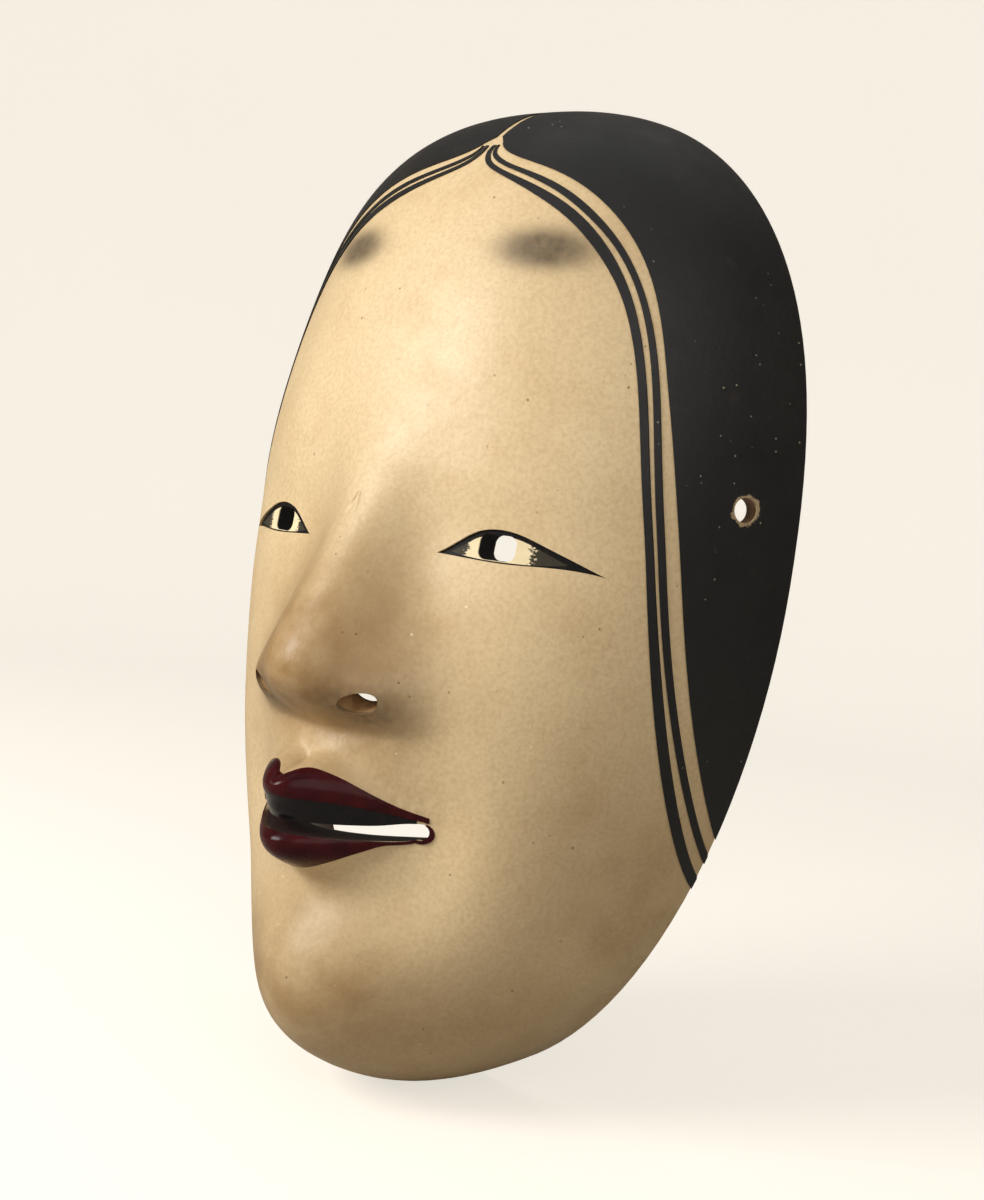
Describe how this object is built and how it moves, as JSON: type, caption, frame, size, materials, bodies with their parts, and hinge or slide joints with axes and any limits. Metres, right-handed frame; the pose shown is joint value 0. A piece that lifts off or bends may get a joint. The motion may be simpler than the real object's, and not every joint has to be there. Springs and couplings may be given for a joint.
{
  "type": "noh mask",
  "caption": "Carved young-woman noh mask with a hollow back, painted hair, eyes and lips, open pupils, nostrils and mouth, and a cord hole at each side.",
  "frame": {"origin": "on the level of the chin's lowest point, on the centre line, half-way between the rim's plane and the tip of the nose", "axes": "+Z from chin to crown, the face looks along -Y, +X to the right as seen from in front"},
  "size_m": [0.1364, 0.0701, 0.2128],
  "materials": {
    "cypress": "bare hinoki cypress, knife finished",
    "chalk_ground": "aged powdered-shell ground with a satin polish",
    "back_lacquer": "dark translucent lacquer over the carved back",
    "hair_black": "satin ink black",
    "eye_white": "aged off-white",
    "eye_ink": "ink black",
    "lip_red": "dark red, satin",
    "tooth_black": "glossy black"
  },
  "bodies": {
    "root": {"wood_shell": "cypress", "ground_coat": "chalk_ground", "back_lacquer": "back_lacquer", "hair_field_left": "hair_black", "hair_field_right": "hair_black", "hair_strand_inner_left": "hair_black", "hair_strand_inner_right": "hair_black", "hair_strand_outer_left": "hair_black", "hair_strand_outer_right": "hair_black", "eye_white_left": "eye_white", "eye_white_right": "eye_white", "eye_ink_left": "eye_ink", "eye_ink_right": "eye_ink", "upper_lip_colour": "lip_red", "lower_lip_colour": "lip_red", "tooth_blackening": "tooth_black"}
  },
  "joints": []
}
